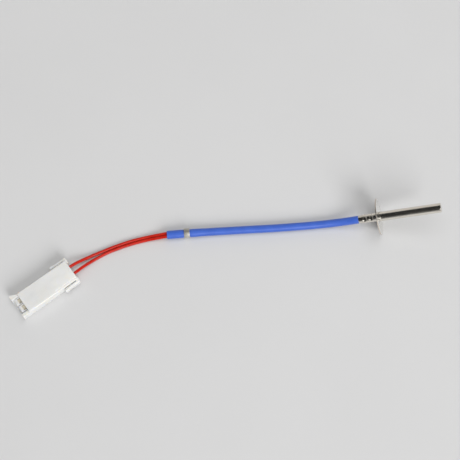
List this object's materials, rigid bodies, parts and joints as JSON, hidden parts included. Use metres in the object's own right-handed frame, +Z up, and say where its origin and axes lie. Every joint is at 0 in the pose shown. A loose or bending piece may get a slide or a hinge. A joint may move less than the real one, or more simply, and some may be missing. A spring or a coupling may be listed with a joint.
{
  "type": "probe thermistor",
  "caption": "Temperature probe with a closed metal tube, a round flange, a sleeved two-wire lead and a white plug-in connector.",
  "frame": {"origin": "where the probe's axis meets the flange's seating face, on the tip's side", "axes": "+Z up from the surface that the part lies on; the probe points along +X with its tip raised 17 degrees; +Y to the left of the probe"},
  "size_m": [0.2265, 0.0537, 0.021],
  "materials": {
    "probe_steel": "polished drawn stainless tube",
    "flange_steel": "bright pressed plate",
    "epoxy": "cast resin",
    "bead": "coated ceramic bead",
    "lead_metal": "plain drawn wire",
    "polyimide": "amber film tube",
    "ferrule": "tinned",
    "splice_cover": "shrunk tube",
    "conductor": "bare stranded copper",
    "red_wire": "smooth extruded insulation",
    "blue_sleeve": "smooth flexible sleeve",
    "band_steel": "bright crimped strip",
    "contact": "formed strip",
    "white_housing": "moulded nylon, fine satin"
  },
  "bodies": {
    "root": {"probe_tube": "probe_steel", "flange": "flange_steel", "potting": "epoxy", "thermistor_bead": "bead", "bead_lead_1": "lead_metal", "bead_lead_2": "lead_metal", "lead_insulation_1": "polyimide", "lead_insulation_2": "polyimide", "splice_1": "ferrule", "splice_2": "ferrule", "splice_cover_1": "splice_cover", "splice_cover_2": "splice_cover", "probe_conductor_1": "conductor", "probe_conductor_2": "conductor", "wire_1": "red_wire", "wire_2": "red_wire", "sleeve": "blue_sleeve", "clamp_band": "band_steel", "plug_conductor_1": "conductor", "plug_conductor_2": "conductor", "terminal_1": "contact", "terminal_2": "contact", "connector_housing": "white_housing"}
  },
  "joints": []
}
